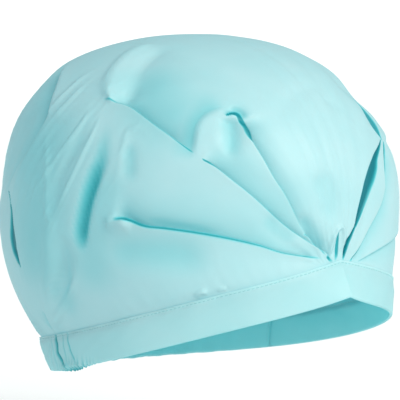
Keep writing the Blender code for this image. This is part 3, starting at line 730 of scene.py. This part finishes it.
# The seam holds the sheet down on the dome, and its edge runs on down between the hem's leaves.
SEAM_HOLD = 0.0045
held = eased(from_seam / SEAM_HOLD)
shape = smooth + (height * held)[:, None] * out + slide * held[:, None]

turn = bm.verts.layers.float.new("azimuth")
for vert, point, angle in zip(bm.verts, shape, azimuth):
    vert.co = point
    vert[turn] = angle
border = [edge for edge in bm.edges if edge.is_boundary]
tucked = bmesh.ops.extrude_edge_only(bm, edges=border)["geom"]
for vert in tucked:
    if isinstance(vert, bmesh.types.BMVert):
        vert.co -= CROWN_TUCK * Vector(hem_rise(np.array(vert[turn])))
bmesh.ops.recalc_face_normals(bm, faces=bm.faces)
crown_mesh = bpy.data.meshes.new("crown_cloth")
bm.to_mesh(crown_mesh)
bm.free()
crown_mesh.shade_smooth()

loose = len(crown_mesh.vertices) - len(across)
# The painted shade of the folds, swells and gaps goes to the cloth's material as a point attribute.
painted_fold_shade = crown_mesh.attributes.new("painted_fold_shade", "FLOAT", "POINT")
painted_fold_shade.data.foreach_set("value", np.concatenate((painted_shade_amount * held, np.zeros(loose))))
corners = np.empty(len(crown_mesh.loops), dtype=np.int64)
crown_mesh.loops.foreach_get("vertex_index", corners)
spots = np.zeros((len(crown_mesh.vertices), 2))
spots[: len(across)] = np.stack((across * CUT_WIDTH, along * CUT_LENGTH), axis=-1)
crown_mesh.uv_layers.new(name="cut").data.foreach_set("uv", spots[corners].ravel())

crown = bpy.data.objects.new("crown_sheet", crown_mesh)
bpy.context.scene.collection.objects.link(crown)

# Coated polyester: a satin face that lights up white-blue where it is lit. Its folds are painted a deep
# teal, as painted shade that takes out more of the red the deeper it lies, on top of the light that the
# thin cloth lets through.
CLOTH_LIT = "c6e5e9"
# The deep colours below are painted shade, for the folds.
CLOTH_PAINTED_SHADE = "0f8f9b"
CLOTH_THROUGH = "24c4cf"
FOLD_PAINTED_SHADE_THROUGH = "0a7480"
CROWN_SEE_THROUGH = 0.35


def coated_cloth(name, lit, deep, through, painted_fold_through, see_through):
    """Thin coated polyester with its soft sheen and the light that comes through it. Painted shade from
    the mesh's fold attribute darkens both its face and that light towards the deep colours. The mottle
    keeps the face from looking printed, and the crinkle breaks up its highlights."""
    made, tree = new_material(name)
    place = add_node(tree, "ShaderNodeTexCoord")
    mottle = add_node(
        tree,
        "ShaderNodeTexNoise",
        {"Vector": place.outputs["Object"], "Scale": 38.0, "Detail": 3.0},
    )
    tone = add_node(
        tree,
        "ShaderNodeMapRange",
        {"Value": mottle.outputs[0], "From Min": 0.3, "From Max": 0.7, "To Min": 0.0, "To Max": 0.02},
    )
    painted_fold = add_node(tree, "ShaderNodeAttribute", attribute_name="painted_fold_shade")
    painted_shade_and_mottle = add_node(
        tree, "ShaderNodeMath", {0: painted_fold.outputs["Fac"], 1: tone.outputs[0]}, operation="ADD"
    ).outputs[0]
    shades = []
    # Each colour darkens towards its painted shade colour as the painted shade grows.
    for pale, painted_dark in ((lit, deep), (through, painted_fold_through)):
        painted_shade_filter = [d / p for p, d in zip(linear(pale), linear(painted_dark))]
        layers = add_node(tree, "ShaderNodeGamma", {"Color": painted_shade_filter, "Gamma": painted_shade_and_mottle})
        shades.append(
            add_node(
                tree,
                "ShaderNodeMix",
                {0: 1.0, 6: linear(pale), 7: layers.outputs[0]},
                data_type="RGBA",
                blend_type="MULTIPLY",
            ).outputs[2]
        )
    crinkle = add_node(
        tree,
        "ShaderNodeTexNoise",
        {"Vector": place.outputs["Object"], "Scale": 260.0, "Detail": 4.0},
    )
    bump = add_node(
        tree,
        "ShaderNodeBump",
        {"Height": crinkle.outputs[0], "Strength": 0.12, "Distance": 0.0006},
    )
    satin = add_node(
        tree,
        "ShaderNodeBsdfPrincipled",
        {
            "Base Color": shades[0],
            "Roughness": 0.42,
            "IOR": 1.5,
            "Specular IOR Level": 0.35,
            "Normal": bump.outputs[0],
        },
    )
    glow = add_node(
        tree, "ShaderNodeBsdfTranslucent", {"Color": shades[1], "Normal": bump.outputs[0]}
    )
    both = add_node(
        tree, "ShaderNodeMixShader", {0: see_through, 1: satin.outputs[0], 2: glow.outputs[0]}
    )
    add_node(tree, "ShaderNodeOutputMaterial", {"Surface": both.outputs[0]})
    return made


crown_mesh.materials.append(
    coated_cloth(
        "satin_coated_polyester",
        CLOTH_LIT,
        CLOTH_PAINTED_SHADE,
        CLOTH_THROUGH,
        FOLD_PAINTED_SHADE_THROUGH,
        CROWN_SEE_THROUGH,
    )
)
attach(crown, "root")
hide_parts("crown")

# ---- Front band and elastic casing: two strips of the same cloth folded in two round the head ring.
# The crown's raw edge is sewn in between the leaves. The band lies smooth, and the elastic inside the
# casing, whose ends are tucked into the band's, draws it up into gathers.
BAND_STATIONS = 840
CASING_STATIONS = 520
LEAF_STEPS = 24
FOLD_STEPS = 7
FOLD_ROUND = 0.0010
STITCH_DOWN = 0.0012
STITCH_DENT = 0.00030
STITCH_DENT_WIDTH = 0.0009
LEAF_GAP = 0.0009
LAPPED_GAP = 0.0004
CASING_LAP = math.radians(0.8)
BAND_PUFF = 0.00045
CASING_PUFF = 0.0010
LEAF_FULLNESS = 0.8
SWELL_END = 1.05
HEM_WAVE = 0.8
HEM_WAVES = 7.0
HEM_WAVES_UP = 90.0
HEM_WAVE_SLANT = 120.0
HEM_FINE_WAVE = 0.1
HEM_FINE_WAVES = 30.0
CASING_GATHER = 1.0
CASING_FINE_GATHER = 1.1
CASING_SCALLOP = 1.1
# Painted shade on the hem's inner leaf, which lies in the cap's own shade.
INNER_PAINTED_SHADE = 0.10
# The hem's colours: the same cloth, painted paler than the crown's as painted light.
HEM_PAINTED_PALE = "d8ebed"
HEM_THROUGH = "bcf6f9"
HEM_SEE_THROUGH = 0.54

# Short creases where the elastic starts to pull at the band's end, with their places in degrees at the
# top, in the middle and at the lower edge, their depth and half width in mm, and how dark their painted
# shade is. They fade out away from the middle of the hem's height.
CREASE_MIDDLE = 0.55
CREASE_HALF = 0.45
HEM_CREASES = (
    # top, middle, bottom, depth, width, dark
    (115.6, 114.6, 112.0, 0.5, 1.0, 0.06),
    (111.0, 110.4, 105.0, 1.5, 1.3, 0.62),
    (105.6, 104.4, 102.8, 0.3, 0.6, 0.12),
    (102.4, 100.4, 96.6, 0.4, 0.6, 0.22),
)

# The ruffles that follow them along the lower edge.
RUFFLES_AT = math.radians(101.0)
RUFFLES_SPREAD = math.radians(9.0)
RUFFLE_PITCH = math.radians(2.1)
RUFFLE_DRIFT = 1.5
RUFFLE_DRIFT_WAVES = 40.0
RUFFLE_DEPTH = 0.0022
RUFFLE_FALL = 8
RUFFLE_LIFT = 0.8
# Painted shade on the ruffles' inward turns.
RUFFLE_PAINTED_SHADE = 0.5


def ruffles(turn, up):
    """The crimped lower edge where the elastic starts, out above zero and in below it."""
    near_fold = (1.0 - np.clip(up / HEM_HEIGHT, 0.0, 1.0)) ** RUFFLE_FALL
    reach = creased((turn - RUFFLES_AT) / RUFFLES_SPREAD, 2)
    drift = RUFFLE_DRIFT * np.sin(turn * RUFFLE_DRIFT_WAVES)
    return reach * near_fold * np.sin(2 * math.pi * turn / RUFFLE_PITCH + drift)


def leaf_swell(up, puff):
    """How far a leaf stands out between the stitching and the lower fold."""
    share = np.clip(up / HEM_HEIGHT, 0.0, 1.0)
    body = puff * np.sin(math.pi * np.minimum(1.0, share * SWELL_END)) ** LEAF_FULLNESS
    return body - STITCH_DENT * creased((HEM_HEIGHT - STITCH_DOWN - up) / STITCH_DENT_WIDTH, 2)


def crease_shade(turn, up):
    """The creases of the band's end: how deep each point lies in mm, and its painted shade."""
    sunk, painted_dark = np.zeros(len(turn)), np.zeros(len(turn))
    share = up / HEM_HEIGHT
    fade = creased((share - CREASE_MIDDLE) / CREASE_HALF, 4)
    for top, middle, bottom, deep, width, painted_shade in HEM_CREASES:
        at = np.radians(np.interp(share, (0.0, 0.5, 1.0), (bottom, middle, top)))
        line = creased((turn - at) * RING_WIDTH / 2 / (width * MM), 2) * fade
        sunk += deep * line
        painted_dark = np.maximum(painted_dark, painted_shade * line)
    return sunk, painted_dark


def hem_cloth(turn, up, across, puff, gathered):
    """Points of a folded strip: up from its lower edge, and across from the inner leaf at -1 to the
    outer leaf at 1. The lower edge of a gathered strip runs in scallops, and its ends are pressed flat
    where they lap into the band's."""
    ease = ripple(turn * HEM_WAVES + up * HEM_WAVE_SLANT, up * HEM_WAVES_UP, 4.0)
    fine = ripple(turn * HEM_FINE_WAVES, up * HEM_FINE_WAVES, 9.0)
    share = up / HEM_HEIGHT
    gap = LEAF_GAP + leaf_swell(up, puff)
    wave = MM * share * (HEM_WAVE * ease + HEM_FINE_WAVE * fine)
    if gathered:
        past_band = np.minimum(turn - BAND_END, 2 * math.pi - BAND_END - turn)
        lapped = eased(1.0 - past_band / CASING_LAP)
        gap = gap + (LAPPED_GAP - gap) * lapped
        full = nape_fullness(turn) ** 2
        gathers = CASING_GATHER * small_gathers(turn) + CASING_FINE_GATHER * fine
        wave = wave * (1.0 - lapped) + full * MM * gathers
        scallop = np.cos(2 * math.pi * CASING_PLEATS * nape_share(turn))
        up = up + full * CASING_SCALLOP * MM * scallop * (1.0 - share)
    else:
        ruffle = RUFFLE_DEPTH * ruffles(turn, up)
        wave = wave - MM * crease_shade(turn, up)[0] + ruffle
        up = up + RUFFLE_LIFT * ruffle
    out_by = (across * gap + wave)[:, None] * hem_across(turn)
    return hem_foot(turn) + out_by + up[:, None] * hem_rise(turn)


def hem_strip(name, azimuth, puff, gathered):
    """A strip folded in two round the head ring, between its first and its last azimuth."""
    leaf = np.linspace(HEM_HEIGHT, FOLD_ROUND, LEAF_STEPS + 1)
    turns = np.linspace(0.0, math.pi, FOLD_STEPS + 1)[1:-1]
    up = np.concatenate((leaf, FOLD_ROUND * (1.0 - np.sin(turns)), leaf[::-1]))
    across = np.concatenate((np.ones(LEAF_STEPS + 1), np.cos(turns), -np.ones(LEAF_STEPS + 1)))
    bm = bmesh.new()
    bmesh.ops.create_grid(bm, x_segments=len(azimuth) - 1, y_segments=len(up) - 1, size=0.5)
    spots = np.array([vert.co for vert in bm.verts])
    station = np.rint((spots[:, 0] + 0.5) * (len(azimuth) - 1)).astype(int)
    row = np.rint((spots[:, 1] + 0.5) * (len(up) - 1)).astype(int)
    turn, up, across = azimuth[station], up[row], across[row]
    for vert, point in zip(bm.verts, hem_cloth(turn, up, across, puff, gathered)):
        vert.co = point
    bmesh.ops.recalc_face_normals(bm, faces=bm.faces)
    mesh = bpy.data.meshes.new(name)
    bm.to_mesh(mesh)
    bm.free()
    mesh.shade_smooth()
    # Painted shade: the inner leaf, the band's creases and the inward ruffles are darkened through the
    # fold attribute.
    painted_shade = INNER_PAINTED_SHADE * np.clip(-across, 0.0, 1.0)
    if not gathered:
        painted_shade = np.maximum(painted_shade, crease_shade(turn, up)[1])
        painted_shade = np.maximum(painted_shade, -RUFFLE_PAINTED_SHADE * ruffles(turn, up))
    mesh.attributes.new("painted_fold_shade", "FLOAT", "POINT").data.foreach_set("value", painted_shade)
    piece = bpy.data.objects.new(name, mesh)
    bpy.context.scene.collection.objects.link(piece)
    return piece


def casing_turns(lap):
    """The casing's stations, with its ends this far in under the band's ends."""
    return np.linspace(BAND_END - lap, 2 * math.pi - BAND_END + lap, CASING_STATIONS + 1)


# The hem is painted paler than the crown, as painted light: its two leaves lie flat to the light. Its
# see-through colour is brighter, and more light comes through.
band_turns = np.linspace(-BAND_END, BAND_END, BAND_STATIONS + 1)
band = hem_strip("front_band_strip", band_turns, BAND_PUFF, False)
casing = hem_strip("elastic_casing_strip", casing_turns(CASING_LAP), CASING_PUFF, True)
for piece, finish in ((band, "folded_band_polyester"), (casing, "gathered_casing_polyester")):
    piece.data.materials.append(
        coated_cloth(finish, HEM_PAINTED_PALE, CLOTH_PAINTED_SHADE, HEM_THROUGH, FOLD_PAINTED_SHADE_THROUGH, HEM_SEE_THROUGH)
    )
for piece, node, finish in (
    (band, "front_band", "band_cloth"),
    (casing, "elastic_casing", "casing_cloth"),
):
    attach(piece, "root")
    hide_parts(node)

# ---- Topstitching: one row of machine stitches through both leaves, just under the hem's top edge. The
# thread is spun polyester in the cloth's colour, drawn tight enough to sink a little into the cloth.
STITCH_PITCH = 0.0024
STITCH_LENGTH = 0.0020
THREAD_WIDTH = 0.00042
THREAD_PROUD = 0.00008
STITCH_SEED = 7
THREAD_LIT = "a6dde0"
THREAD_DEEP = "6fbfc6"


def stitch_rows(name, azimuth, puff, gathered):
    """The lines that the needle follows on the outer and the inner leaf."""
    up = np.full(len(azimuth), HEM_HEIGHT - STITCH_DOWN)
    rows = []
    for leaf in (1.0, -1.0):
        cloth = hem_cloth(azimuth, up, np.full(len(azimuth), leaf), puff, gathered)
        rows.append(cloth + leaf * THREAD_PROUD * hem_across(azimuth))
    steps = np.arange(len(azimuth) - 1)
    edges = [(first, first + 1) for start in (0, len(azimuth)) for first in start + steps]
    mesh = bpy.data.meshes.new(name)
    mesh.from_pydata(np.concatenate(rows).tolist(), edges, [])
    piece = bpy.data.objects.new(name, mesh)
    bpy.context.scene.collection.objects.link(piece)
    return piece


def stitch_tree(thread):
    """Geometry Nodes that lay one short stitch after another along a piece's lines."""
    tree = bpy.data.node_groups.new("row_of_stitches", "GeometryNodeTree")
    sockets = {}
    for label, kind in (
        ("Lines", "NodeSocketGeometry"),
        ("Stitch pitch", "NodeSocketFloat"),
        ("Stitch length", "NodeSocketFloat"),
        ("Thread width", "NodeSocketFloat"),
        ("Seed", "NodeSocketInt"),
    ):
        made = tree.interface.new_socket(name=label, in_out="INPUT", socket_type=kind)
        sockets[label] = made.identifier
    tree.interface.new_socket(name="Stitches", in_out="OUTPUT", socket_type="NodeSocketGeometry")
    given = add_node(tree, "NodeGroupInput").outputs
    line = add_node(tree, "GeometryNodeMeshToCurve", {0: given["Lines"]})
    holes = add_node(
        tree,
        "GeometryNodeResampleCurve",
        {"Curve": line.outputs[0], "Length": given["Stitch pitch"]},
        mode="LENGTH",
    )
    bead = add_node(tree, "GeometryNodeMeshUVSphere", {"Segments": 8, "Rings": 5, "Radius": 0.5})
    size = add_node(
        tree,
        "ShaderNodeCombineXYZ",
        {0: given["Stitch length"], 1: given["Thread width"], 2: given["Thread width"]},
    )
    stitch = add_node(
        tree, "GeometryNodeTransform", {"Geometry": bead.outputs["Mesh"], "Scale": size.outputs[0]}
    )
    way = add_node(tree, "GeometryNodeInputTangent")
    laid_along = add_node(
        tree, "FunctionNodeAlignRotationToVector", {"Vector": way.outputs[0]}, axis="X"
    )
    uneven = add_node(
        tree,
        "FunctionNodeRandomValue",
        {2: 0.88, 3: 1.08, "Seed": given["Seed"]},
        data_type="FLOAT",
    )
    sewn = add_node(
        tree,
        "GeometryNodeInstanceOnPoints",
        {
            "Points": holes.outputs[0],
            "Instance": stitch.outputs[0],
            "Rotation": laid_along.outputs[0],
            "Scale": uneven.outputs[1],
        },
    )
    real = add_node(tree, "GeometryNodeRealizeInstances", {0: sewn.outputs[0]})
    dyed = add_node(
        tree, "GeometryNodeSetMaterial", {"Geometry": real.outputs[0], "Material": thread}
    )
    add_node(tree, "NodeGroupOutput", {0: dyed.outputs[0]})
    return tree, sockets


def spun_thread(name):
    """Dyed spun polyester: fine twisted fibres, matt, a shade deeper than the coated cloth."""
    made, tree = new_material(name)
    place = add_node(tree, "ShaderNodeTexCoord")
    fibres = add_node(
        tree, "ShaderNodeTexNoise", {"Vector": place.outputs["Object"], "Scale": 3000.0}
    )
    tone = add_node(
        tree,
        "ShaderNodeMix",
        {0: fibres.outputs[0], 6: linear(THREAD_LIT), 7: linear(THREAD_DEEP)},
        data_type="RGBA",
    )
    thread = add_node(
        tree,
        "ShaderNodeBsdfPrincipled",
        {"Base Color": tone.outputs[2], "Roughness": 0.6, "Sheen Weight": 0.3},
    )
    add_node(tree, "ShaderNodeOutputMaterial", {"Surface": thread.outputs[0]})
    return made


thread = spun_thread("spun_polyester_thread")
sewing, sockets = stitch_tree(thread)
for name, turns, puff, gathered in (
    ("band_topstitching", band_turns, BAND_PUFF, False),
    ("casing_topstitching", casing_turns(-CASING_LAP), CASING_PUFF, True),
):
    piece = stitch_rows(name, turns, puff, gathered)
    sewn = piece.modifiers.new("sewing", "NODES")
    sewn.node_group = sewing
    sewn[sockets["Stitch pitch"]] = STITCH_PITCH
    sewn[sockets["Stitch length"]] = STITCH_LENGTH
    sewn[sockets["Thread width"]] = THREAD_WIDTH
    sewn[sockets["Seed"]] = STITCH_SEED
    evaluated = piece.evaluated_get(bpy.context.evaluated_depsgraph_get())
    finished = bpy.data.meshes.new_from_object(evaluated)
    piece.modifiers.clear()
    piece.data = finished
    finished.shade_smooth()
    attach(piece, "root")
